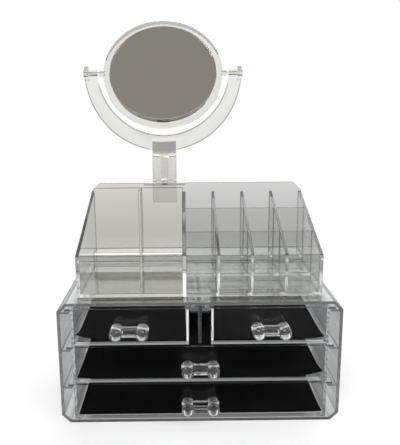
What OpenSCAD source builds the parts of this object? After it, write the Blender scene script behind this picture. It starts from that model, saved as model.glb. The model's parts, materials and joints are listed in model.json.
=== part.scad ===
// Clear two-tier makeup organizer: a four-drawer chest, a loose divided tray and a swivel mirror.
// Front faces -Y, +Z is up, and the origin is the centre of the chest's underside.

/* [Chest casing] */
// Width of the chest over its side walls
casing_w = 240; // [200:1:300]
// Depth of the chest from front edge to back wall
casing_d = 136; // [110:1:180]
// Thickness of the casing walls
casing_wall = 2.6; // [1.6:0.1:4]
// Size of the bevel along the four long edges of the casing
casing_bevel = 7; // [3:0.5:12]

/* [Drawers] */
// Height of every drawer
drawer_h = 31.8; // [22:0.1:60]
// Space between one tier of drawers and the next
tier_gap = 2.2; // [1:0.1:5]
// Thickness of the drawer sides and back
drawer_wall = 2; // [1.2:0.1:3]
// Thickness of the drawer front
drawer_front = 2.6; // [1.6:0.1:4]
// Thickness of the drawer floor
drawer_floor = 2.4; // [1.2:0.1:4]
// Width of the slot beside each drawer, where its runner is
runner_slot = 8.9; // [7:0.1:14]
// Reach of the drawer's side flange into the runner slot
flange_reach = 5.2; // [3:0.1:8]
// Thickness of the flanges and of the runners
flange_t = 2; // [1:0.1:3]
// Thickness of the centre divider between the two small drawers
divider_web = 3; // [2:0.1:5]
// Thickness of the sheet that lines each drawer
liner_t = 1; // [0.5:0.1:3]

/* [Knobs] */
// Distance between the two round ends of a knob
knob_pitch = 21.5; // [14:0.5:40]
// Radius of each round end
knob_r = 5.3; // [3:0.1:8]
// How far a knob stands out of the drawer front
knob_reach = 15.5; // [8:0.5:25]
// Height of the bar that joins the round ends
knob_bar_h = 6.4; // [3:0.1:9]

/* [Tray] */
// Width of the upper tray
tray_w = 209.2; // [150:0.1:230]
// Depth of the upper tray
tray_d = 110; // [90:1:130]
// Height of the tray's front wall
tray_front_h = 36.2; // [25:0.1:60]
// Height of the tray's back wall
tray_back_h = 82.8; // [60:0.1:120]
// Thickness of the outer walls
tray_wall = 2.8; // [1.6:0.1:4]
// Thickness of the floors
tray_floor = 2.7; // [1.5:0.1:4]
// Size of the bevel at the top corners of the back wall
tray_bevel = 8.1; // [3:0.1:14]
// Thickness of the inner dividers
divider_t = 2.4; // [1.2:0.1:3.5]
// Width of the undivided left side
palette_w = 87.5; // [60:0.5:110]
// Columns of cells on the right side
columns = 4; // [2:1:6]
// Depth of the rear row of cells
rear_row_d = 29; // [18:0.5:34]
// Depth of the front row of cells
front_row_d = 33; // [18:0.5:38]
// Rise of the floor from one row to the next
floor_step = 7; // [0:0.5:12]
// Depth of the raised bays behind the left side
bay_d = 20; // [12:0.5:30]
// Width of the outer bay
outer_bay_w = 45; // [30:0.5:60]

/* [Mirror] */
// Distance from the chest's centre line to the mirror's, to the left
mirror_offset = 31.3; // [20:0.1:45]
// Radius over the mirror's frame
frame_r = 56.5; // [40:0.5:62]
// Width of the frame's rim round the glass that shows
rim_w = 6.8; // [5:0.1:9]
// Thickness of the whole mirror
mirror_t = 9; // [7:0.1:12]
// Lean of the mirror away from the viewer, in degrees
mirror_tilt = 30; // [-45:1:45]
// Height of the pivots above the top of the post
pivot_rise = 74.5; // [68:0.5:100]
// Thickness of the crescent-shaped yoke
yoke_t = 5; // [3:0.5:8]
// Radius of the post
post_r = 11.8; // [8:0.1:14]
// Height of the post above its foot
post_h = 28.5; // [15:0.5:60]
// Depth of the tongues that grip the tray's back wall
tongue_d = 21; // [10:0.5:40]

/* [Fits] */
// Gap between faces of parts that slide or lift apart
slide_gap = 0.3; // [0.2:0.05:0.6]
// Radial clearance of the turning pins
pin_gap = 0.08; // [0.05:0.01:0.2]

/* [Hidden] */
$fn = 96;
over = 1;                                    // overlap of a cutter past the face that it cuts

// Colours of the plastics and glasses
clear_c = [0.86, 0.88, 0.88, 0.45];
drawer_c = [0.82, 0.84, 0.85, 0.5];
liner_c = [0.05, 0.05, 0.05];
mirror_c = [0.62, 0.62, 0.6];

// Casing, worked out from the drawers that it holds
floor_gap = 0.8;
head_gap = 2.7;
tier_pitch = drawer_h + tier_gap;
top_tier = 2;
casing_h = 2 * casing_wall + floor_gap + top_tier * tier_pitch + drawer_h + head_gap;
front_y = -casing_d / 2;
inner_w = casing_w - 2 * casing_wall;
inner_top = casing_h - casing_wall;
inner_back_y = casing_d / 2 - casing_wall;
inner_bevel = casing_bevel - casing_wall * (2 - sqrt(2));
runner_inset = 1.5;                          // gap between a runner's edge and the drawer's side
runner_start = 1.5;                          // runners begin behind the casing's front edge

// Drawers
rear_clear = 3.4;                            // space behind the drawers
centre_slot_cut = 1;                         // slots beside the divider are this much narrower
drawer_half = inner_w / 2 - runner_slot;
drawer_back_y = inner_back_y - rear_clear;
small_inner_x = divider_web / 2 + runner_slot - centre_slot_cut;
function tier_z(tier) = casing_wall + floor_gap + tier * tier_pitch;
function flange_z(tier) = tier_z(tier) + drawer_h - flange_t;
function runner_top(tier) = flange_z(tier) - slide_gap;
small_mid_x = (drawer_half + small_inner_x) / 2;

// Knobs
peg_r = 1.5;
peg_play = 0.05;
peg_hole_r = peg_r + peg_play;
knob_gap = 0.02;                             // hair gap between a knob and the drawer front
peg_past = 0.8;                              // length of a peg that shows inside the drawer
knob_drop = 1.3;                             // knobs sit this much below the middle of the front
function knob_z(tier) = tier_z(tier) + drawer_h / 2 - knob_drop;

// Tray
tray_z = casing_h + slide_gap;
tray_shift = 1;                              // the tray stands this far behind the chest's middle
tray_back_y = tray_d / 2 + tray_shift;
tray_front_y = tray_back_y - tray_d;
tray_in_w = tray_w - 2 * tray_wall;
tray_in_back_y = tray_back_y - tray_wall;
tray_in_front_y = tray_front_y + tray_wall;
tray_side_h = tray_back_h - tray_bevel;      // where the sloping sides meet the back wall
partition_extra = 0.8;                       // the partition is this much thicker than a divider
partition_t = divider_t + partition_extra;
partition_x0 = -tray_in_w / 2 + palette_w;
grid_x0 = partition_x0 + partition_t;
cell_w = (tray_in_w / 2 - grid_x0 - (columns - 1) * divider_t) / columns;
rear_wall_y = tray_in_back_y - rear_row_d - divider_t;
front_wall_y = tray_in_front_y + front_row_d;
bay_front_y = tray_in_back_y - bay_d;
bay_divider_x = -tray_in_w / 2 + outer_bay_w;
bay_divider_drop = 4.6;                      // the bays' divider ends this far below the back wall
bay_divider_h = tray_back_h - bay_divider_drop;
back_pad_t = 0.8;                            // thicker skin on the back wall behind the bays
function slope_h(y) = tray_front_h + (tray_side_h - tray_front_h) * (y - tray_front_y) / tray_d;
function floor_h(step) = tray_floor + step * floor_step;

// Mirror
mirror_x = -mirror_offset;
foot_w = 40;
foot_d = 27;
foot_t = 2.1;
foot_z = tray_z + tray_back_h + slide_gap;
foot_overhang = 7;                           // reach of the foot behind the tray's back wall
foot_front_y = tray_back_y + foot_overhang - foot_d;
mirror_y = foot_front_y + foot_d / 2;
tongue_t = 2.6;
post_z = foot_z + foot_t;
post_wall = 2.2;
post_cap = 3;
post_top_z = post_z + post_h;
pivot_z = post_top_z + pivot_rise;
spindle_r = 3.6;
spindle_rise = 3;                            // clear height under the spindle's end
collar_h = 10.6;
collar_inset = 0.1;
collar_r = post_r - collar_inset;
collar_below = 1;                            // height of the collar that shows under the crescent
glass_r = frame_r - rim_w;
frame_gap = 1.2;                             // least gap between the turning frame and the yoke
crescent_drop = 5;                           // inner arc's centre above the pivots
inner_arc_r = frame_r + frame_gap + crescent_drop;
arm_w = 11.9;
outer_arc_r = inner_arc_r + arm_w;
outer_arc_z = post_top_z + slide_gap + collar_below + outer_arc_r;
ear_r = 7;
ear_t = 3.6;
ear_inset = 0.4;                             // ears end this far inside the widest of the arc
ear_x = outer_arc_r - ear_inset;
arm_top = 3.6;                               // arms end this much above the pivots
pin_r = 2;
pin_head_r = 3.6;
pin_head_t = 1.3;
pin_head_edge = 0.5;
pin_press = 0.02;                            // radial gap of a pin that is pressed into its ear
pin_depth = 1.5;                             // reach of a pin inside the frame's outer radius
pin_end_gap = 0.5;                           // space at a pin's inner end
boss_r = 4.4;
boss_root = 1;                               // the bosses start this far inside the frame's edge
boss_gap = 2.6;                              // from the end of a boss to the inner arc
boss_x = inner_arc_r - boss_gap;
pin_end_x = frame_r - pin_depth;
rib_t = 2.4;                                 // rib that keeps the two glasses apart
rib_reach = 1.5;                             // how far the rib shows inside the bezels
glass_t = 1.6;
glass_hidden = 1.2;                          // edge of a glass under its bezel
bezel_t = (mirror_t - rib_t) / 2 - glass_t;
bezel_slope = 3;                             // width of the bezel's slope down to the glass
core_t = mirror_t - 2 * bezel_t;
glass_play = 0.1;
dish_depth = 0.9;                            // depth of the magnifying face at its middle
dish_margin = 1;                             // flat ring between the dish and the bezel
dish_steps = 9;

// Closed outline with equal bevels at its four corners, standing on its lower edge
function bevelled(w, h, b) = [
    [-w / 2 + b, 0], [w / 2 - b, 0], [w / 2, b], [w / 2, h - b],
    [w / 2 - b, h], [-w / 2 + b, h], [-w / 2, h - b], [-w / 2, b]
];

// Runs an outline drawn in X and Z from one Y to another
module along_y(y0, y1) {
    translate([0, y1, 0])
        rotate([90, 0, 0])
            linear_extrude(y1 - y0)
                children();
}

// Runs an outline drawn in Y and Z from one X to another
module along_x(x0, x1) {
    translate([x0, 0, 0])
        rotate([90, 0, 90])
            linear_extrude(x1 - x0)
                children();
}

// Box between two corners
module block(low, high) {
    translate(low)
        cube(high - low);
}

// ---- Chest ----

module chest_casing() {
    color(clear_c)
        union() {
            difference() {
                along_y(front_y, casing_d / 2)
                    polygon(bevelled(casing_w, casing_h, casing_bevel));
                along_y(front_y - over, inner_back_y)
                    translate([0, casing_wall])
                        polygon(bevelled(inner_w, casing_h - 2 * casing_wall, inner_bevel));
            }
            for (tier = [0 : top_tier])
                for (side = [-1, 1])
                    side_runner(tier, side);
        }
}

// Ledge on the casing's side wall that a drawer's flange slides on
module side_runner(tier, side) {
    edge_x = drawer_half + runner_inset;
    reach = inner_w / 2 + casing_wall / 2 - edge_x;
    translate([side > 0 ? edge_x : -edge_x - reach, front_y + runner_start, runner_top(tier) - flange_t])
        cube([reach, inner_back_y + casing_wall / 2 - front_y - runner_start, flange_t]);
}

// Web that hangs from the casing's top between the small drawers, with a runner on each face
module centre_divider() {
    runner_half = small_inner_x - runner_inset;
    color(clear_c)
        union() {
            block([-divider_web / 2, front_y + runner_start, tier_z(top_tier)],
                  [divider_web / 2, inner_back_y, inner_top]);
            block([-runner_half, front_y + runner_start, runner_top(top_tier) - flange_t],
                  [runner_half, inner_back_y, runner_top(top_tier)]);
        }
}

// ---- Drawers ----

// Open drawer with a flange along the top of each side and two peg holes in its front
module drawer(x0, x1, tier) {
    z0 = tier_z(tier);
    z1 = z0 + drawer_h;
    color(drawer_c)
        difference() {
            union() {
                block([x0, front_y, z0], [x1, drawer_back_y, z1]);
                block([x0 - flange_reach, front_y + runner_start, z1 - flange_t],
                      [x1 + flange_reach, drawer_back_y, z1]);
            }
            block([x0 + drawer_wall, front_y + drawer_front, z0 + drawer_floor],
                  [x1 - drawer_wall, drawer_back_y - drawer_wall, z1 + over]);
            for (side = [-1, 1])
                translate([(x0 + x1) / 2 + side * knob_pitch / 2, front_y - over, knob_z(tier)])
                    rotate([-90, 0, 0])
                        cylinder(r = peg_hole_r, h = drawer_front + 2 * over);
        }
}

// Sheet on the drawer's floor, cut a little smaller than the floor
module liner(x0, x1, tier) {
    margin = 0.6;
    z0 = tier_z(tier) + drawer_floor;
    color(liner_c)
        block([x0 + drawer_wall + margin, front_y + drawer_front + margin, z0],
              [x1 - drawer_wall - margin, drawer_back_y - drawer_wall - margin, z0 + liner_t]);
}

// Knob like a dumb-bell: two round ends joined by a bar, each end with a peg behind it
module knob(x, tier) {
    edge = 0.9;                              // bevel at the front of each round end
    bar_back = 1.6;
    bar_front = 3.2;
    translate([x, front_y, knob_z(tier)])
        color(clear_c)
            union() {
                for (side = [-1, 1])
                    translate([side * knob_pitch / 2, 0, 0])
                        rotate([90, 0, 0])
                            rotate_extrude()
                                polygon([
                                    [0, -drawer_front - peg_past], [peg_r, -drawer_front - peg_past],
                                    [peg_r, knob_gap], [knob_r, knob_gap], [knob_r, knob_reach - edge],
                                    [knob_r - edge, knob_reach], [0, knob_reach]
                                ]);
                block([-knob_pitch / 2, -knob_reach + bar_front, -knob_bar_h / 2],
                      [knob_pitch / 2, -bar_back, knob_bar_h / 2]);
            }
}

// ---- Tray ----

// Upright wall along Y whose top follows the slope of the tray's sides
module sloping_wall(x0, x1, y0, y1) {
    along_x(x0, x1)
        polygon([[y0, 0], [y1, 0], [y1, slope_h(y1)], [y0, slope_h(y0)]]);
}

module tray_back() {
    along_y(tray_in_back_y, tray_back_y)
        polygon([
            [-tray_w / 2, 0], [tray_w / 2, 0], [tray_w / 2, tray_side_h],
            [tray_w / 2 - tray_bevel, tray_back_h], [-tray_w / 2 + tray_bevel, tray_back_h],
            [-tray_w / 2, tray_side_h]
        ]);
}

// Floor plate with the riser at its front edge, open underneath
module raised_floor(x0, x1, y0, y1, step) {
    union() {
        block([x0, y0, floor_h(step) - tray_floor], [x1, y1, floor_h(step)]);
        block([x0, y0, 0], [x1, y0 + divider_t, floor_h(step)]);
    }
}

module upper_tray() {
    half = tray_in_w / 2;
    lap = 0.5;                               // walls run this far into the wall that they meet
    translate([0, 0, tray_z])
        color(clear_c)
            union() {
                tray_back();
                for (side = [-1, 1])
                    sloping_wall(side > 0 ? half : -tray_w / 2, side > 0 ? tray_w / 2 : -half,
                                 tray_front_y, tray_in_back_y + lap);
                block([-half - lap, tray_front_y, 0], [half + lap, tray_in_front_y, tray_front_h]);
                // lowest floor: the whole left side up to the bays, and the front row of cells
                block([-half - lap, tray_in_front_y - lap, 0],
                      [partition_x0 + lap, bay_front_y + lap, tray_floor]);
                block([partition_x0, tray_in_front_y - lap, 0],
                      [half + lap, front_wall_y + lap, tray_floor]);
                raised_floor(-half - lap, partition_x0 + lap, bay_front_y, tray_in_back_y + lap, 2);
                raised_floor(partition_x0 + lap, half + lap, front_wall_y, rear_wall_y + lap, 1);
                raised_floor(partition_x0 + lap, half + lap, rear_wall_y, tray_in_back_y + lap, 2);
                sloping_wall(partition_x0, grid_x0, tray_in_front_y - lap, tray_in_back_y + lap);
                for (column = [1 : columns - 1])
                    let (x = grid_x0 + column * cell_w + (column - 1) * divider_t)
                        sloping_wall(x, x + divider_t, tray_in_front_y - lap, tray_in_back_y + lap);
                for (y = [front_wall_y, rear_wall_y])
                    block([partition_x0 + lap, y, 0], [half + lap, y + divider_t, slope_h(y)]);
                block([bay_divider_x, bay_front_y, 0],
                      [bay_divider_x + divider_t, tray_in_back_y + lap, bay_divider_h]);
                block([-half - lap, tray_in_back_y - back_pad_t, 0],
                      [partition_x0 + lap, tray_in_back_y + lap, bay_divider_h]);
            }
}

// ---- Mirror ----

// Plate that lies on the tray's back wall, with a tongue down each face of the wall
module mirror_foot() {
    pad_y = tray_in_back_y - back_pad_t;
    tongue_half = post_r;
    color(clear_c)
        difference() {
            union() {
                block([mirror_x - foot_w / 2, foot_front_y, foot_z],
                      [mirror_x + foot_w / 2, foot_front_y + foot_d, post_z]);
                for (y = [pad_y - slide_gap - tongue_t, tray_back_y + slide_gap])
                    block([mirror_x - tongue_half, y, foot_z - tongue_d],
                          [mirror_x + tongue_half, y + tongue_t, foot_z + foot_t / 2]);
            }
            translate([mirror_x, mirror_y, foot_z - over])
                cylinder(r = spindle_r + pin_gap, h = foot_t + 2 * over);
        }
}

// Hollow post, closed at the top but for the spindle's bore
module mirror_post() {
    translate([mirror_x, mirror_y, post_z])
        color(clear_c)
            rotate_extrude()
                polygon([
                    [post_r - post_wall, 0], [post_r, 0], [post_r, post_h],
                    [spindle_r + pin_gap, post_h], [spindle_r + pin_gap, post_h - post_cap],
                    [post_r - post_wall, post_h - post_cap]
                ]);
}

// Crescent yoke with its collar and spindle, and a round ear at each tip for the pivots
module mirror_yoke() {
    color(clear_c)
        difference() {
            union() {
                translate([mirror_x, mirror_y, 0])
                    along_y(-yoke_t / 2, yoke_t / 2)
                        crescent();
                translate([mirror_x, mirror_y, post_top_z + slide_gap])
                    cylinder(r = collar_r, h = collar_h);
                translate([mirror_x, mirror_y, post_z + spindle_rise])
                    cylinder(r = spindle_r, h = post_h);
                for (side = [-1, 1])
                    translate([mirror_x + side * ear_x, mirror_y, pivot_z])
                        rotate([0, -side * 90, 0])
                            cylinder(r = ear_r, h = ear_t);
            }
            for (side = [-1, 1])
                translate([mirror_x + side * (ear_x + over), mirror_y, pivot_z])
                    rotate([0, -side * 90, 0])
                        cylinder(r = pin_r + pin_press, h = ear_x - frame_r + 2 * over);
        }
}

module crescent() {
    difference() {
        translate([0, outer_arc_z])
            circle(r = outer_arc_r, $fn = 160);
        translate([0, pivot_z + crescent_drop])
            circle(r = inner_arc_r, $fn = 160);
        translate([-outer_arc_r - over, pivot_z + arm_top])
            square([2 * outer_arc_r + 2 * over, outer_arc_r]);
    }
}

// Headed pin through an ear into the mirror's frame; side is -1 for the left one
module pivot_pin(side) {
    color(clear_c)
        translate([mirror_x, mirror_y, pivot_z])
            rotate([0, side * 90, 0])
                rotate_extrude()
                    polygon([
                        [0, pin_end_x], [pin_r, pin_end_x], [pin_r, ear_x],
                        [pin_head_r, ear_x], [pin_head_r, ear_x + pin_head_t - pin_head_edge],
                        [pin_head_r - pin_head_edge, ear_x + pin_head_t], [0, ear_x + pin_head_t]
                    ]);
}

// Puts a shape drawn about the mirror's middle plane, facing +Z, in its leaning place
module leaning() {
    translate([mirror_x, mirror_y, pivot_z])
        rotate([90 - mirror_tilt, 0, 0])
            children();
}

// Ring between the bezels, with the rib that parts the glasses and a boss for each pivot
module mirror_frame() {
    seat_r = glass_r + glass_hidden + glass_play;
    half = core_t / 2;
    leaning()
        color(clear_c)
            difference() {
                union() {
                    rotate_extrude()
                        polygon([
                            [seat_r, -half], [frame_r, -half], [frame_r, half], [seat_r, half],
                            [seat_r, rib_t / 2], [glass_r - rib_reach, rib_t / 2],
                            [glass_r - rib_reach, -rib_t / 2], [seat_r, -rib_t / 2]
                        ]);
                    for (side = [-1, 1])
                        frame_boss(side, half);
                }
                for (side = [-1, 1])
                    translate([side * (boss_x + over), 0, 0])
                        rotate([0, -side * 90, 0])
                            cylinder(r = pin_r + pin_gap, h = boss_x + over - pin_end_x + pin_end_gap);
            }
}

module frame_boss(side, half) {
    difference() {
        translate([side * (frame_r - boss_root), 0, 0])
            rotate([0, side * 90, 0])
                cylinder(r = boss_r, h = boss_x - frame_r + boss_root);
        for (face = [-1, 1])
            translate([0, 0, face > 0 ? half : -half - boss_r])
                cylinder(r = frame_r + glass_play, h = boss_r);
    }
}

// Outline of a bezel: bevelled outside, sloping in to the glass
module bezel(face) {
    half = core_t / 2;
    edge = 1;
    leaning()
        mirror([0, 0, face > 0 ? 0 : 1])
            color(clear_c)
                rotate_extrude()
                    polygon([
                        [glass_r, half], [frame_r, half], [frame_r, half + bezel_t - edge],
                        [frame_r - edge, half + bezel_t], [glass_r + bezel_slope, half + bezel_t],
                        [glass_r, half + bezel_t / 2]
                    ]);
}

module plain_glass() {
    leaning()
        color(mirror_c)
            translate([0, 0, rib_t / 2])
                cylinder(r = glass_r + glass_hidden, h = glass_t);
}

// Back glass with a shallow dish, for the enlarged view
module magnifying_glass() {
    back = -rib_t / 2 - glass_t;
    leaning()
        color(mirror_c)
            rotate_extrude()
                polygon(concat(
                    [[0, -rib_t / 2], [glass_r + glass_hidden, -rib_t / 2],
                     [glass_r + glass_hidden, back]],
                    [for (i = [0 : dish_steps])
                        let (part = 1 - i / dish_steps)
                            [part * (glass_r - dish_margin), back + dish_depth * (1 - part * part)]]
                ));
}

chest_casing();
centre_divider();
drawer(-drawer_half, -small_inner_x, top_tier);  // small_drawer_left
drawer(small_inner_x, drawer_half, top_tier);  // small_drawer_right
drawer(-drawer_half, drawer_half, 1);  // middle_drawer
drawer(-drawer_half, drawer_half, 0);  // bottom_drawer
liner(-drawer_half, -small_inner_x, top_tier);  // small_liner_left
liner(small_inner_x, drawer_half, top_tier);  // small_liner_right
liner(-drawer_half, drawer_half, 1);  // middle_liner
liner(-drawer_half, drawer_half, 0);  // bottom_liner
knob(-small_mid_x, top_tier);  // small_knob_left
knob(small_mid_x, top_tier);  // small_knob_right
knob(0, 1);  // middle_knob
knob(0, 0);  // bottom_knob
upper_tray();
mirror_foot();
mirror_post();
mirror_yoke();
pivot_pin(-1);  // pivot_pin_left
pivot_pin(1);  // pivot_pin_right
mirror_frame();
bezel(1);  // front_bezel
bezel(-1);  // rear_bezel
plain_glass();
magnifying_glass();
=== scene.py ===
import json
from math import cos, hypot, pi, radians, sin

import bmesh
import bpy
from mathutils import Matrix, Vector

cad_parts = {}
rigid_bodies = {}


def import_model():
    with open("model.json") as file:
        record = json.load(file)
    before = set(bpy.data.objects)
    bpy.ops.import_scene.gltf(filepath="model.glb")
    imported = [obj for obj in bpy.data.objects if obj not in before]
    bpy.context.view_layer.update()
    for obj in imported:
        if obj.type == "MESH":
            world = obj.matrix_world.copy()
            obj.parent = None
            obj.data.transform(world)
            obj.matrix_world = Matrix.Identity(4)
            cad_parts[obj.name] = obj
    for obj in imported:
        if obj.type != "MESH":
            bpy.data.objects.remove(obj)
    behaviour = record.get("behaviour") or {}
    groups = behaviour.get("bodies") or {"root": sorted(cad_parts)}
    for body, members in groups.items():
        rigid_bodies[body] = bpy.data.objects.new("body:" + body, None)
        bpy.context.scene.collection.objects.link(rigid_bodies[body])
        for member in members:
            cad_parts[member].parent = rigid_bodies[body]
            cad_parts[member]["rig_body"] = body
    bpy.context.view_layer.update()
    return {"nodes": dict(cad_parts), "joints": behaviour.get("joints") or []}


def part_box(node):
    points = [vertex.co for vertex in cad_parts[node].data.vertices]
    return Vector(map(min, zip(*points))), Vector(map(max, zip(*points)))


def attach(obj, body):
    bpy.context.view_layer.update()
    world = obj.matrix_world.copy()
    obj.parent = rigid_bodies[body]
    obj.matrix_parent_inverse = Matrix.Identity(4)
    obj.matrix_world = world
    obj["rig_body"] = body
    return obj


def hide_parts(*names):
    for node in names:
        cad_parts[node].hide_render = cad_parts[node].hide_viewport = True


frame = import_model()
nodes = frame["nodes"]
mm = 0.001

scene = bpy.context.scene
scene.view_settings.view_transform = "Standard"
scene.cycles.max_bounces = 40  # many clear walls stand one behind another
scene.cycles.transmission_bounces = 36
scene.cycles.transparent_max_bounces = 40
scene.cycles.glossy_bounces = 36
scene.cycles.diffuse_bounces = 4
print("frame loaded")


# The camera, fitted to the box edges in the photograph; lengths in mm, angles in degrees

cameraView = {
    "place": (-13.4, -546.2, 277.1),
    "yaw": 0.35,
    "pitch": 12.71,
    "roll": -0.44,
    "focalPixels": 605.9,
    "imageSize": (400, 445),
    "middlePixel": (186.9, 231.5),
}


def addCamera(view):
    yaw, pitch, roll = (radians(view[key]) for key in ("yaw", "pitch", "roll"))
    width, height = view["imageSize"]
    forward = Vector((sin(yaw) * cos(pitch), cos(yaw) * cos(pitch), -sin(pitch)))
    level = Vector((cos(yaw), -sin(yaw), 0))
    upright = level.cross(forward)
    across = level * cos(roll) + upright * sin(roll)
    up = upright * cos(roll) - level * sin(roll)
    camera = bpy.data.objects.new("camera", bpy.data.cameras.new("camera"))
    scene.collection.objects.link(camera)
    turn = Matrix((across, up, -forward)).transposed().to_4x4()
    camera.matrix_world = Matrix.Translation(Vector(view["place"]) * mm) @ turn
    lens = camera.data
    lens.sensor_fit = "HORIZONTAL"
    lens.sensor_width = 36
    lens.lens = view["focalPixels"] / width * lens.sensor_width
    lens.shift_x = (width / 2 - view["middlePixel"][0]) / width
    lens.shift_y = (view["middlePixel"][1] - height / 2) / width
    lens.clip_start, lens.clip_end = 0.01, 50
    scene.camera = camera


addCamera(cameraView)
print("camera set")


# Shader wiring: a Signal is one socket of a material, and sums of Signals add their own Math nodes

class Signal:
    def __init__(self, graph, socket):
        self.graph = graph
        self.socket = socket

    def out(self, name):
        return Signal(self.graph, self.socket.node.outputs[name])

    def calc(self, operation, first, second):
        return self.graph.node("Math", {"operation": operation}, {0: first, 1: second})

    def __add__(self, other):
        return self.calc("ADD", self, other)

    def __sub__(self, other):
        return self.calc("SUBTRACT", self, other)

    def __rsub__(self, other):
        return self.calc("SUBTRACT", other, self)

    def __mul__(self, other):
        return self.calc("MULTIPLY", self, other)

    def __lt__(self, other):
        return self.calc("LESS_THAN", self, other)

    def __gt__(self, other):
        return self.calc("GREATER_THAN", self, other)


class Graph:
    def __init__(self, owner):
        owner.use_nodes = True
        self.tree = owner.node_tree
        self.tree.nodes.clear()

    def node(self, kind, settings=None, values=None):
        made = self.tree.nodes.new("ShaderNode" + kind)
        for name, value in (settings or {}).items():
            if name == "stops":
                ramp = made.color_ramp
                while len(ramp.elements) < len(value):
                    ramp.elements.new(1)
                for element, (place, shade) in zip(ramp.elements, value):
                    element.position = place
                    element.color = shade if isinstance(shade, tuple) else colour(*[shade] * 3)
            else:
                setattr(made, name, value)
        for name, value in (values or {}).items():
            if isinstance(value, Signal):
                self.tree.links.new(value.socket, made.inputs[name])
            else:
                made.inputs[name].default_value = value
        return Signal(self, made.outputs[0]) if made.outputs else None

    def mixColour(self, share, first, second):
        made = self.node("Mix", {"data_type": "RGBA"}, {0: share, 6: first, 7: second})
        return Signal(self, made.socket.node.outputs[2])


def colour(red, green, blue):
    return (red, green, blue, 1)


# Clear moulded plastic. Lamps reach through it, so what lies behind is lit

clearPlastic = {
    "bends": 1.49,
    "polish": 0.012,
    "smears": 0.035,
    "smearScale": 26,
    "smearDetail": 5,
    "smearStops": [(0.5, 0), (0.78, 1)],
    "rippleScale": 30,
    "rippleDepth": 0.00001,
    "rippleStrength": 0.35,
    "lampShare": 0.93,
}


def clearMaterial(name, tint, settings=clearPlastic, paintedRoomPart=None):
    material = bpy.data.materials.new(name)
    graph = Graph(material)
    place = graph.node("TexCoord").out("Object")
    smear = graph.node("TexNoise", values={
        "Vector": place, "Scale": settings["smearScale"], "Detail": settings["smearDetail"]})
    smear = graph.node("ValToRGB", {"stops": settings["smearStops"]}, {0: smear})
    ripple = graph.node("TexNoise", values={"Vector": place, "Scale": settings["rippleScale"], "Detail": 0})
    bump = graph.node("Bump", values={
        "Strength": settings["rippleStrength"], "Distance": settings["rippleDepth"], "Height": ripple})
    shade = colour(*tint)
    # A masked region can get a painted tint that stands in for the room seen through the wall
    if paintedRoomPart:
        shade = graph.mixColour(paintedRoomPart["mask"](graph, place), shade, colour(*paintedRoomPart["tint"]))
    plastic = graph.node("BsdfPrincipled", values={
        "Base Color": shade,
        "Transmission Weight": 1.0,
        "IOR": settings["bends"],
        "Roughness": smear * settings["smears"] + settings["polish"],
        "Normal": bump,
    })
    through = graph.node("BsdfTransparent", values={"Color": colour(*[settings["lampShare"]] * 3)})
    lampRay = graph.node("LightPath").out("Is Shadow Ray")
    surface = graph.node("MixShader", values={0: lampRay, 1: plastic, 2: through})
    graph.node("OutputMaterial", values={"Surface": surface})
    return material


paintedRoomTint = {"edgeX": -0.0145, "edgeY": 0.0515, "tint": (0.92, 0.905, 0.85)}  # a warm tint painted on the back wall of the two bays, standing in for the beige room seen through it


def paintedRoomMask(graph, place):
    split = graph.node("SeparateXYZ", values={0: place})
    return (split.out("X") < paintedRoomTint["edgeX"]) * (split.out("Y") > paintedRoomTint["edgeY"])


casingPlastic = clearMaterial("casingPlastic", (0.93, 0.935, 0.94))
drawerPlastic = clearMaterial("drawerPlastic", (0.93, 0.935, 0.94))
# The tray's bay back wall gets the painted warm tint of the room seen through it
trayPlastic = clearMaterial("trayPlastic", (0.9, 0.905, 0.895), paintedRoomPart={
    "mask": paintedRoomMask, "tint": paintedRoomTint["tint"]})
standPlastic = clearMaterial("standPlastic", (0.92, 0.915, 0.885))
framePlastic = clearMaterial("framePlastic", (0.96, 0.96, 0.955), {
    **clearPlastic, "bends": 1.2, "polish": 0.08})
knobPlastic = clearMaterial("knobPlastic", (0.96, 0.965, 0.97))
footPlastic = clearMaterial("footPlastic", (0.94, 0.94, 0.95))
# The three edge materials below are painted shade: dark tints that stand in for the darker room real cut
# edges bend into view, with a rougher finish
cutEdge = {**clearPlastic, "polish": 0.12, "smears": 0.12}
paintedShadeRim = clearMaterial("paintedShadeRim", (0.34, 0.35, 0.37), cutEdge)
paintedShadeTrayRim = clearMaterial("paintedShadeTrayRim", (0.1, 0.105, 0.115), cutEdge)
paintedShadeStandRim = clearMaterial("paintedShadeStandRim", (0.4, 0.395, 0.38), {**clearPlastic, "polish": 0.08, "smears": 0.08})


# Black velvet paper of the drawer liners

velvetPaper = {
    "black": (0.0012, 0.0012, 0.0014),
    "dusty": (0.006, 0.006, 0.0056),
    "fibreScale": 1400,
    "fibreShare": 0.55,
    "fibreStrength": 0.4,
    "fibreDepth": 0.0002,
    "cloudScale": 22,
    "cloudShare": 0.45,
    "dustStops": [(0.35, 0), (0.75, 1)],
    "leastRough": 0.6,
    "moreRough": 0.2,
    "shine": 0.04,
}


def velvetMaterial(settings):
    material = bpy.data.materials.new("velvetPaper")
    graph = Graph(material)
    place = graph.node("TexCoord").out("Object")
    fibre = graph.node("TexNoise", values={"Vector": place, "Scale": settings["fibreScale"], "Detail": 4})
    cloud = graph.node("TexNoise", values={"Vector": place, "Scale": settings["cloudScale"], "Detail": 3})
    dust = fibre * settings["fibreShare"] + cloud * settings["cloudShare"]
    dust = graph.node("ValToRGB", {"stops": settings["dustStops"]}, {0: dust})
    bump = graph.node("Bump", values={
        "Strength": settings["fibreStrength"], "Distance": settings["fibreDepth"], "Height": fibre})
    paper = graph.node("BsdfPrincipled", values={
        "Base Color": graph.mixColour(dust, colour(*settings["black"]), colour(*settings["dusty"])),
        "Roughness": cloud * settings["moreRough"] + settings["leastRough"],
        "Specular IOR Level": settings["shine"],
        "Normal": bump,
    })
    graph.node("OutputMaterial", values={"Surface": paper})
    return material


# Silvered glass, with the faint wipe marks of a used mirror

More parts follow.
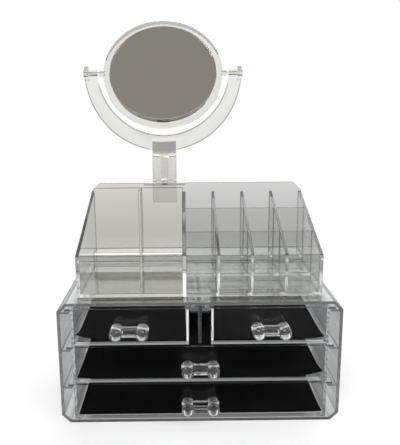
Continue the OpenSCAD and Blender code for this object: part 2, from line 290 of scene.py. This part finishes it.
silverGlass = {
    "silver": (0.86, 0.86, 0.845),
    "polish": 0.02,
    "wipeScale": 9,
    "wipeStops": [(0.45, 0), (0.8, 1)],
    "wipeBlur": 0.03,
}


def silverMaterial(settings):
    material = bpy.data.materials.new("silverGlass")
    graph = Graph(material)
    place = graph.node("TexCoord").out("Object")
    wipe = graph.node("TexNoise", values={"Vector": place, "Scale": settings["wipeScale"], "Detail": 6})
    wipe = graph.node("ValToRGB", {"stops": settings["wipeStops"]}, {0: wipe})
    silver = graph.node("BsdfPrincipled", values={
        "Base Color": colour(*settings["silver"]),
        "Metallic": 1.0,
        "Roughness": wipe * settings["wipeBlur"] + settings["polish"],
    })
    graph.node("OutputMaterial", values={"Surface": silver})
    return material


blackVelvet = velvetMaterial(velvetPaper)
silvering = silverMaterial(silverGlass)
print("materials made")


# Modelling by hand

hairGap = 0.03  # mm between pieces that touch, so that no two clear faces share a plane
axisRadius = 1e-4  # mm, kept on a turned piece's axis until its points are merged
weldReach = 0.001  # mm within which points are merged


def deselectAll():
    if bpy.context.mode != "OBJECT":
        bpy.ops.object.mode_set(mode="OBJECT")
    bpy.ops.object.select_all(action="DESELECT")


def workOn(piece):
    deselectAll()
    piece.select_set(True)
    bpy.context.view_layer.objects.active = piece


def modify(piece, kind, **settings):
    workOn(piece)
    modifier = piece.modifiers.new(kind.lower(), kind)
    for name, value in settings.items():
        setattr(modifier, name, value)
    bpy.ops.object.modifier_apply(modifier=modifier.name)


def placeAt(piece, matrix):
    workOn(piece)
    piece.matrix_world = matrix
    bpy.ops.object.transform_apply(location=True, rotation=True, scale=True)


def mergeAndTurnOut(piece):
    workOn(piece)
    bpy.ops.object.mode_set(mode="EDIT")
    bpy.ops.mesh.select_all(action="SELECT")
    bpy.ops.mesh.remove_doubles(threshold=weldReach * mm)
    bpy.ops.mesh.normals_make_consistent(inside=False)
    bpy.ops.object.mode_set(mode="OBJECT")


def smoothen(piece, angle=30):
    workOn(piece)
    bpy.ops.object.shade_smooth_by_angle(angle=radians(angle))


def dress(piece, *materials):
    piece.data.materials.clear()
    for material in materials:
        piece.data.materials.append(material)


# A finished piece takes its CAD node's place and rides on its body

def settle(piece, material, node):
    if not piece.data.materials:
        dress(piece, material)
    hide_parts(node)
    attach(piece, nodes[node]["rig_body"])


# A turned piece grows from one ring of points, extruded and resized to each radius and height in mm

def lathe(name, profile, steps):
    deselectAll()
    radius, height = profile[0]
    bpy.ops.mesh.primitive_circle_add(
        vertices=steps, radius=max(radius, axisRadius) * mm, location=(0, 0, 0), fill_type="NOTHING")
    piece = bpy.context.active_object
    piece.name = piece.data.name = name
    bpy.ops.object.mode_set(mode="EDIT")
    bpy.ops.mesh.select_all(action="SELECT")
    bpy.ops.transform.translate(value=(0, 0, height * mm))
    for nextRadius, nextHeight in profile[1:]:
        bpy.ops.mesh.extrude_region_move(
            TRANSFORM_OT_translate={"value": (0, 0, (nextHeight - height) * mm)})
        grow = max(nextRadius, axisRadius) / max(radius, axisRadius)
        bpy.ops.transform.resize(value=(grow, grow, 1), center_override=(0, 0, 0))
        radius, height = nextRadius, nextHeight
    bpy.ops.object.mode_set(mode="OBJECT")
    mergeAndTurnOut(piece)
    return piece


# Mouldings: each a copy of its CAD node with the soft edges of its mould. Faces along the cut edges of the
# walls get a dark painted shade with a rougher finish, standing in for the darker room the edges bend into
# view. Each row gives the edge in mm and the lift in hair gaps

mould = {"weld": 0.002, "flatten": 0.8, "sharp": 28, "edgeSteps": 2, "paintedShadeWidth": 3.3}
yokeArcs = {"lowest": 220, "highest": 289, "collar": 12, "overCollar": 234.5, "steps": 3, "smooth": 20,
            "edgeOn": 0.1, "flatOn": 0.9}
mouldings = {
    "chest_casing": ("casing", 0.8, 0, "casing_clear", casingPlastic, paintedShadeRim),
    "centre_divider": ("dividerWeb", 0.3, -1, "casing_clear", casingPlastic, paintedShadeRim),
    "small_drawer_left": ("drawerTopLeft", 0.5, 1, "drawer_clear", drawerPlastic, paintedShadeRim),
    "small_drawer_right": ("drawerTopRight", 0.5, 1, "drawer_clear", drawerPlastic, paintedShadeRim),
    "middle_drawer": ("drawerMiddle", 0.5, 1, "drawer_clear", drawerPlastic, paintedShadeRim),
    "bottom_drawer": ("drawerBottom", 0.5, 1, "drawer_clear", drawerPlastic, paintedShadeRim),
    "upper_tray": ("tray", 0.6, 1, "tray_clear", trayPlastic, paintedShadeTrayRim),
    "mirror_foot": ("mirrorFoot", 0.4, 2, "stand_clear", footPlastic, paintedShadeStandRim),
    "mirror_yoke": ("mirrorYoke", 1.2, 0, "stand_clear", standPlastic, paintedShadeStandRim),
}


# Faces narrower than the width are the cut edges, and they get slot 1, the painted edge shade
def markPaintedShadeRims(piece, width, lowest=0, highest=1):  # width in mm, heights in m
    corners = [vertex.co for vertex in piece.data.vertices]
    for face in piece.data.polygons:
        ring = [corners[index] for index in face.vertices]
        around = sum((ring[step] - ring[step - 1]).length for step in range(len(ring)))
        if 2 * face.area < width * mm * around and lowest < face.center.z < highest:
            face.material_index = 1


def softenArcs(piece, width, s):
    workOn(piece)
    bpy.ops.object.mode_set(mode="EDIT")
    bpy.ops.mesh.select_all(action="DESELECT")
    low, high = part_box("mirror_yoke")
    middle = (low.x + high.x) / 2
    mesh = bmesh.from_edit_mesh(piece.data)
    for edge in mesh.edges:
        heights = [vertex.co.z for vertex in edge.verts]
        beside = min(abs(vertex.co.x - middle) for vertex in edge.verts)
        facing = sorted(abs(face.normal.y) for face in edge.link_faces)
        onArc = min(heights) > s["lowest"] * mm and max(heights) < s["highest"] * mm
        clearOfCollar = beside > s["collar"] * mm or min(heights) > s["overCollar"] * mm
        atSide = len(facing) == 2 and facing[0] < s["edgeOn"] and facing[1] > s["flatOn"]
        edge.select = onArc and clearOfCollar and atSide
    bmesh.update_edit_mesh(piece.data)
    # The bevel faces of the arcs get slot 1, the painted edge shade
    bpy.ops.mesh.bevel(
        offset=width * mm, segments=s["steps"], affect="EDGES", clamp_overlap=False, material=1)
    bpy.ops.object.mode_set(mode="OBJECT")


def mouldedCopy(node, name, edge, lift, material, paintedRim):
    piece = bpy.data.objects.new(name, nodes[node].data.copy())
    scene.collection.objects.link(piece)
    workOn(piece)
    bpy.ops.object.mode_set(mode="EDIT")
    bpy.ops.mesh.select_all(action="SELECT")
    bpy.ops.mesh.remove_doubles(threshold=mould["weld"] * mm)
    bpy.ops.mesh.dissolve_limited(angle_limit=radians(mould["flatten"]))
    bpy.ops.object.mode_set(mode="OBJECT")
    dress(piece, material, paintedRim)
    if node == "mirror_yoke":
        softenArcs(piece, edge, yokeArcs)
    else:
        modify(piece, "BEVEL", width=edge * mm, segments=mould["edgeSteps"], limit_method="ANGLE",
               angle_limit=radians(mould["sharp"]), use_clamp_overlap=True, material=1)
    placeAt(piece, Matrix.Translation((0, 0, lift * hairGap * mm)))
    if node == "mirror_yoke":
        smoothen(piece, yokeArcs["smooth"])
        markPaintedShadeRims(piece, mould["paintedShadeWidth"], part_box("mirror_post")[1].z, yokeArcs["highest"] * mm)
    else:
        bpy.ops.object.shade_flat()
        markPaintedShadeRims(piece, mould["paintedShadeWidth"])
    settle(piece, material, node)


for node, (name, edge, lift, slot, material, paintedRim) in mouldings.items():
    mouldedCopy(node, name, edge, lift, material, paintedRim)
print("mouldings done")


# Liners: sheets of velvet paper cut by hand. Each lies on its drawer's floor as the photograph shows,
# and where it is pushed back or longer, its rear edge turns up against the drawer's back. A corner is
# named by its side and end, and has the height and the reach of its lift in mm

linerSheet = {"thick": 0.7, "play": 0.4, "clear": 0.12, "bendRadius": 5, "smooth": 40,
              "stepsAcross": 36, "stepsAlong": 60}
linerLays = {
    "bottom_liner": {"pushed": 0.6, "longer": 0, "turn": 0.1, "corners": {(1, -1): (0.8, 24)}},
    "middle_liner": {"pushed": 0.4, "longer": 20, "turn": 0,
                     "corners": {(1, -1): (4.5, 30), (-1, -1): (0.6, 20)}},
    "small_liner_left": {"pushed": 0.5, "longer": 18, "turn": 0.5, "corners": {(-1, -1): (6.0, 34)}},
    "small_liner_right": {"pushed": 0.3, "longer": 0, "turn": -0.4, "corners": {(1, -1): (2.5, 30)}},
}
linerNames = {"bottom_liner": "linerBottom", "middle_liner": "linerMiddle",
              "small_liner_left": "linerTopLeft", "small_liner_right": "linerTopRight"}


def layLiner(node, name, lay):
    low, high = (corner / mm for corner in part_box(node))
    middle = (low + high) / 2
    play, rise = linerSheet["play"], linerSheet["bendRadius"]
    width, length = high.x - low.x - play, high.y - low.y - play + lay["longer"]
    turnedUp = lay["pushed"] + lay["longer"]
    flatRun = length - turnedUp - rise if turnedUp > rise else length
    deselectAll()
    bpy.ops.mesh.primitive_grid_add(
        x_subdivisions=linerSheet["stepsAcross"], y_subdivisions=linerSheet["stepsAlong"],
        size=1, location=(0, 0, 0))
    piece = bpy.context.active_object
    piece.name = piece.data.name = name
    turn = radians(lay["turn"])
    for vertex in piece.data.vertices:
        across, along = vertex.co.x, vertex.co.y + 0.5
        x, run, lift = across * width, along * length, 0
        for (side, end), (height, reach) in lay["corners"].items():
            away = hypot(x - side * width / 2, run - (0 if end < 0 else length))
            lift = max(lift, height * max(0, 1 - away / reach) ** 2)
        past = run - flatRun
        if past <= 0:
            y, z = run, lift
        elif past < rise * pi / 2:
            y, z = flatRun + rise * sin(past / rise), rise * (1 - cos(past / rise))
        else:
            y, z = flatRun + rise, rise + past - rise * pi / 2
        y += low.y + play / 2 + lay["pushed"] - middle.y
        x, y = x * cos(turn) - y * sin(turn), x * sin(turn) + y * cos(turn)
        vertex.co = Vector((middle.x + x, middle.y + y, low.z + linerSheet["clear"] + z)) * mm
    modify(piece, "SOLIDIFY", thickness=linerSheet["thick"] * mm, offset=1)
    mergeAndTurnOut(piece)
    smoothen(piece, linerSheet["smooth"])
    settle(piece, blackVelvet, node)
    width * mm
    length * mm


for node, name in linerNames.items():
    layLiner(node, name, linerLays[node])
print("liners laid")


# Knobs: two turned ends, dished in front, and the bar between them

knobShape = {"softEdge": 1.2, "backEdge": 0.4, "dish": 0.12, "arcSteps": 4, "steps": 64, "smooth": 34,
             "pegRadius": 1.5, "pegLength": 3.4, "pegEdge": 0.3, "pegsBehind": 0.2,
             "barHeight": 6.4, "barFront": 3.2, "barBack": 1.6, "barSoft": 1.1, "barSteps": 3}


def turnKnobEnd(radius, reach, shape):
    soft, dish, steps = shape["softEdge"], shape["dish"], shape["arcSteps"]
    peg, pegEnd, pegEdge = shape["pegRadius"], -shape["pegLength"], shape["pegEdge"]
    backEdge = shape["backEdge"]
    profile = [(0, pegEnd), (peg - pegEdge, pegEnd), (peg, pegEnd + pegEdge), (peg, hairGap),
               (radius - backEdge, hairGap), (radius, backEdge)]
    for step in range(steps + 1):
        angle = pi / 2 * step / steps
        profile.append((radius - soft + soft * cos(angle), reach - soft + soft * sin(angle)))
    for step in range(1, steps + 1):
        share = 1 - step / steps
        profile.append((share * (radius - soft), reach - dish * (1 - share * share)))
    return lathe("knobEnd", profile, shape["steps"])


def makeKnob(name, low, high, shape):
    radius = (high.z - low.z) / 2
    pitch = high.x - low.x - 2 * radius
    frontY = cadFrontY / mm
    reach = frontY - low.y
    knob = turnKnobEnd(radius, reach, shape)
    knob.name = knob.data.name = name
    other = knob.copy()
    other.data = knob.data.copy()
    scene.collection.objects.link(other)
    upFront = Matrix.Rotation(radians(90), 4, "X")
    placeAt(knob, Matrix.Translation((-pitch / 2 * mm, 0, 0)) @ upFront)
    placeAt(other, Matrix.Translation((pitch / 2 * mm, 0, 0)) @ upFront)
    deep = reach - shape["barFront"] - shape["barBack"]
    deselectAll()
    bpy.ops.mesh.primitive_cube_add(size=1, location=(0, -(shape["barBack"] + deep / 2) * mm, 0))
    bar = bpy.context.active_object
    bar.scale = Vector((pitch, deep, shape["barHeight"])) * mm
    bpy.ops.object.transform_apply(location=True, rotation=True, scale=True)
    modify(bar, "BEVEL", width=shape["barSoft"] * mm, segments=shape["barSteps"])
    for part in (other, bar):
        modify(knob, "BOOLEAN", operation="UNION", solver="EXACT", object=part)
        bpy.data.objects.remove(part)
    place = Vector(((low.x + high.x) / 2, frontY, (low.z + high.z) / 2)) * mm
    placeAt(knob, Matrix.Translation(place))
    smoothen(knob, shape["smooth"])
    dress(knob, knobPlastic, paintedShadeRim)
    for face in knob.data.polygons:  # the pegs get slot 1, the dark painted shade with its rougher finish, which shows as a dark spot in the drawer front
        face.material_index = int(face.center.y > (frontY + shape["pegsBehind"]) * mm)
    return knob


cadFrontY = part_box("chest_casing")[0].y
for node, name in {"bottom_knob": "knobBottom", "middle_knob": "knobMiddle",
                   "small_knob_left": "knobTopLeft", "small_knob_right": "knobTopRight"}.items():
    low, high = (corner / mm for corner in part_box(node))
    settle(makeKnob(name, low, high, knobShape), knobPlastic, node)
print("knobs turned")


# Post: a hollow round tube with a closed top that the spindle comes through

postTube = {"wall": 2.2, "cap": 3, "boreRadius": 3.7, "soft": 0.4, "steps": 96}


def turnPost(shape):
    low, high = (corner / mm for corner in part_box("mirror_post"))
    outer, top, soft = (high.x - low.x) / 2 - hairGap, high.z - low.z - hairGap, shape["soft"]
    inner, underCap, bore = outer - shape["wall"], top - shape["cap"], shape["boreRadius"]
    post = lathe("mirrorPost", [
        (inner, hairGap), (outer - soft, hairGap), (outer, hairGap + soft), (outer, top - soft),
        (outer - soft, top), (bore + soft, top), (bore, top - soft), (bore, underCap),
        (inner - 2 * soft, underCap), (inner, underCap - 2 * soft), (inner, hairGap)], shape["steps"])
    placeAt(post, Matrix.Translation(Vector(((low.x + high.x) / 2, (low.y + high.y) / 2, low.z)) * mm))
    smoothen(post)
    settle(post, standPlastic, "mirror_post")


turnPost(postTube)


# Mirror: frame, bezels and two glasses, turned about its own axis and then leaned back

mirrorRound = {"lean": 30, "steps": 320, "radius": 56.5, "core": 5.6}
mirrorRing = {"seat": 51.0, "ribRadius": 48.2, "rib": 2.4, "soft": 0.35,
              "bossRadius": 2.75, "bossReach": 60.1, "bossRoot": 2, "bossSteps": 48}
mirrorBezel = {"tall": 1.7, "seenRadius": 49.7, "foot": 0.15, "soft": 1.45, "arcSteps": 4,
               "slopeTop": 3, "slopeStart": 2.6, "slopeDrop": 0.12, "slopeEnd": 0.2, "innerEdge": 0.6}
mirrorGlass = {"radius": 50.9, "thick": 1.6, "edge": 0.25, "smooth": 12,
               "dish": 0.9, "dishInset": 1, "dishSteps": 14}
pivotPin = {"radius": 2.0, "end": 55.0, "endEdge": 0.3, "steps": 48, "headAt": 74.23, "headRadius": 3.6,
            "headTall": 1.24, "headEdge": 0.5, "edgeDrop": 0.1, "faceDrop": 0.04}
tiltJoint = next(joint for joint in frame["joints"] if joint["name"] == "mirror_tilt")
pivot = Vector(tiltJoint["pos_m"])
leaned = Matrix.Translation(pivot) @ Matrix.Rotation(radians(90 - mirrorRound["lean"]), 4, "X")


def turnMirrorFrame(ringShape):
    radius, half = mirrorRound["radius"], mirrorRound["core"] / 2 - hairGap
    halfRib = ringShape["rib"] / 2 - hairGap
    seat, ribRadius, soft = ringShape["seat"], ringShape["ribRadius"], ringShape["soft"]
    ring = lathe("mirrorFrame", [
        (seat, -half), (radius - soft, -half), (radius, -half + soft), (radius, half - soft),
        (radius - soft, half), (seat, half), (seat, halfRib), (ribRadius, halfRib),
        (ribRadius, -halfRib), (seat, -halfRib), (seat, -half)], mirrorRound["steps"])
    bossRadius, reach = ringShape["bossRadius"], ringShape["bossReach"] - radius + ringShape["bossRoot"]
    for side in (-1, 1):
        boss = lathe("boss", [
            (0, -reach / 2), (bossRadius, -reach / 2), (bossRadius, reach / 2 - soft),
            (bossRadius - soft, reach / 2), (0, reach / 2)], ringShape["bossSteps"])
        placeAt(boss, Matrix.Translation((side * (ringShape["bossReach"] - reach / 2) * mm, 0, 0))
                @ Matrix.Rotation(radians(90), 4, "Y"))
        modify(ring, "BOOLEAN", operation="UNION", solver="EXACT", object=boss)
        bpy.data.objects.remove(boss)
    placeAt(ring, leaned)
    smoothen(ring)
    settle(ring, framePlastic, "mirror_frame")


def turnBezel(b, name, node, side):
    radius, half = mirrorRound["radius"], mirrorRound["core"] / 2
    low, top = half + hairGap, half + b["tall"]
    seen, soft, foot = b["seenRadius"], b["soft"], b["foot"]
    profile = [(seen, low), (radius - foot, low), (radius, low + foot)]
    for step in range(b["arcSteps"] + 1):
        angle = pi / 2 * step / b["arcSteps"]
        profile.append((radius - soft + soft * cos(angle), top - soft + soft * sin(angle)))
    profile += [(seen + b["slopeTop"], top), (seen + b["slopeStart"], top - b["slopeDrop"]),
                (seen + b["slopeEnd"], low + b["tall"] / 2), (seen, low + b["innerEdge"]), (seen, low)]
    bezel = lathe(name, profile, mirrorRound["steps"])
    placeAt(bezel, leaned @ Matrix.Rotation(0 if side > 0 else pi, 4, "X"))
    smoothen(bezel)
    settle(bezel, framePlastic, node)


def turnGlass(g, name, node, side):
    back, edge, radius = mirrorRing["rib"] / 2, g["edge"], g["radius"]
    front = back + g["thick"] - hairGap
    profile = [(0, back), (radius - edge, back), (radius, back + edge), (radius, front - edge),
               (radius - edge, front)]
    if side > 0:
        profile.append((0, front))
    else:
        dishRadius, steps = mirrorBezel["seenRadius"] - g["dishInset"], g["dishSteps"]
        for step in range(steps + 1):
            share = 1 - step / steps
            profile.append((share * dishRadius, front - g["dish"] * (1 - share * share)))
    glass = lathe(name, profile, mirrorRound["steps"])
    placeAt(glass, leaned @ Matrix.Rotation(0 if side > 0 else pi, 4, "X"))
    smoothen(glass, g["smooth"])
    settle(glass, silvering, node)


def turnPin(p, name, node, side):
    radius, end, edge = p["radius"], p["end"], p["endEdge"]
    headRadius, headTop, headEdge = p["headRadius"], p["headAt"] + p["headTall"], p["headEdge"]
    pin = lathe(name, [
        (0, end), (radius - edge, end), (radius - hairGap, end + edge), (radius - hairGap, p["headAt"]),
        (headRadius, p["headAt"]), (headRadius, headTop - headEdge),
        (headRadius - headEdge, headTop - p["edgeDrop"]),
        (headRadius - 2 * headEdge, headTop - p["faceDrop"]), (0, headTop - p["faceDrop"])], p["steps"])
    placeAt(pin, Matrix.Translation(pivot) @ Matrix.Rotation(side * radians(90), 4, "Y"))
    smoothen(pin)
    settle(pin, standPlastic, node)


turnMirrorFrame(mirrorRing)
turnBezel(mirrorBezel, "bezelFront", "front_bezel", 1)
turnBezel(mirrorBezel, "bezelRear", "rear_bezel", -1)
turnGlass(mirrorGlass, "glassPlain", "plain_glass", 1)
turnGlass(mirrorGlass, "glassMagnifying", "magnifying_glass", -1)
turnPin(pivotPin, "pinLeft", "pivot_pin_left", -1)
turnPin(pivotPin, "pinRight", "pivot_pin_right", 1)
print("mirror turned")


# Studio: pale floor, white surroundings with a grey ceiling, and soft lamps. Levels are of white, and
# distances from the object in m. "Through" is what shows behind a clear wall, "mirrored" what its face
# or its inside throws back

studio = {
    "floorSize": 12,
    "floorShade": 0.95,
    "soft": 0.56,
    "sweepNear": 0.2, "sweepFar": 0.5,
    "floorThrough": 0.55, "wallThrough": 0.86,
    "throughFrom": 0.3, "throughTo": 2.0,
    "frontFrom": 0.0, "frontTo": -0.075,
    "frontMirrored": 0.02, "backMirrored": 0.6, "wallMirrored": 1.2,
    "wideFrom": 0.7, "wideTo": 4.5,
    "keptEachTime": 0.93,
    "ceiling": (0.272, 0.257, 0.224),
    "horizon": 0.42, "overhead": 0.66,
}
lampAim = Vector((0, 0, 0.15))
lamps = {
    "key": {"place": (-0.75, -0.85, 1.15), "size": 0.7, "power": 10},
    "fill": {"place": (0.95, -0.6, 0.75), "size": 0.8, "power": 6},
    "back": {"place": (0.2, 0.9, 1.1), "size": 0.9, "power": 7},
}


# How often a ray was thrown back on its way: each of its steps that isn't a passage through a face

def mirrorings(path, ownStep=0):
    return path.out("Ray Depth") - path.out("Transmission Depth") - ownStep


def hasMirrored(path, ownStep=0):
    return (mirrorings(path, ownStep) > 0.5) * (1 - path.out("Is Diffuse Ray"))


def fading(path, s, ownStep=0):  # a wall seen edge on loses light at each inner reflection
    return path.calc("POWER", s["keptEachTime"], mirrorings(path, ownStep))


def layFloor(s):
    deselectAll()
    bpy.ops.mesh.primitive_plane_add(size=s["floorSize"], location=(0, 0, 0))
    floor = bpy.context.active_object
    floor.name = "floor"
    material = bpy.data.materials.new("paleFloor")
    graph = Graph(material)
    path = graph.node("LightPath")
    place = graph.node("TexCoord").out("Object")
    away = graph.node("VectorMath", {"operation": "LENGTH"}, {0: place}).out("Value")
    front = graph.node("SeparateXYZ", values={0: place}).out("Y")

    def between(value, start, end):
        return graph.node("MapRange", {"interpolation_type": "SMOOTHSTEP"}, {
            "Value": value, "From Min": s[start], "From Max": s[end]})

    def glow(level):
        return graph.node("Emission", values={"Color": colour(1, 1, 1), "Strength": level})

    seen, through = path.out("Is Camera Ray"), path.out("Is Transmission Ray")
    pale = graph.node("BsdfDiffuse", values={"Color": colour(*[s["floorShade"]] * 3)})
    sweep = graph.node("MixShader", values={
        0: seen * between(away, "sweepNear", "sweepFar"), 1: pale, 2: glow(1.0)})
    farther = s["wallThrough"] - s["floorThrough"]
    level = between(away, "throughFrom", "throughTo") * farther + s["floorThrough"]
    behind = graph.node("MixShader", values={0: through, 1: sweep, 2: glow(level)})
    nearer = s["frontMirrored"] - s["backMirrored"]
    level = between(front, "frontFrom", "frontTo") * nearer + s["backMirrored"]
    wide = between(away, "wideFrom", "wideTo")
    level = (level * (1 - wide) + wide * s["wallMirrored"]) * fading(path, s)
    both = graph.node("MixShader", values={0: hasMirrored(path), 1: behind, 2: glow(level)})
    graph.node("OutputMaterial", values={"Surface": both})
    floor.data.materials.append(material)


def hangSky(s):
    scene.world = bpy.data.worlds.new("studio")
    graph = Graph(scene.world)
    path = graph.node("LightPath")
    direction = graph.node("SeparateXYZ", values={0: graph.node("TexCoord").out("Generated")})
    ceiling = graph.node("ValToRGB", {"stops": [
        (s["horizon"], s["wallMirrored"]), (s["overhead"], colour(*s["ceiling"]))]}, {0: direction.out("Z")})
    ceiling = graph.node("VectorMath", {"operation": "SCALE"}, {0: ceiling, "Scale": fading(path, s, 2)})
    mirrored = hasMirrored(path, 1)  # Ray Depth counts one step more in the world than on a surface
    room = graph.mixColour(mirrored, colour(*[s["wallThrough"]] * 3), ceiling)
    shade = graph.mixColour(path.out("Is Camera Ray"), room, colour(1, 1, 1))
    shade = graph.mixColour(path.out("Is Diffuse Ray"), shade, colour(*[s["soft"]] * 3))
    sky = graph.node("Background", values={"Color": shade, "Strength": 1})
    graph.node("OutputWorld", values={"Surface": sky})


def hangLamp(name, lamp):
    light = bpy.data.lights.new(name, "AREA")
    light.size = lamp["size"]
    light.energy = lamp["power"]
    holder = bpy.data.objects.new(name, light)
    scene.collection.objects.link(holder)
    place = Vector(lamp["place"])
    holder.location = place
    holder.rotation_mode = "QUATERNION"
    holder.rotation_quaternion = (place - lampAim).to_track_quat("Z", "Y")
    holder.visible_transmission = False  # no glare where an edge bends a lamp's light


layFloor(studio)
hangSky(studio)
for name, lamp in lamps.items():
    hangLamp(name, lamp)
print("studio lit")
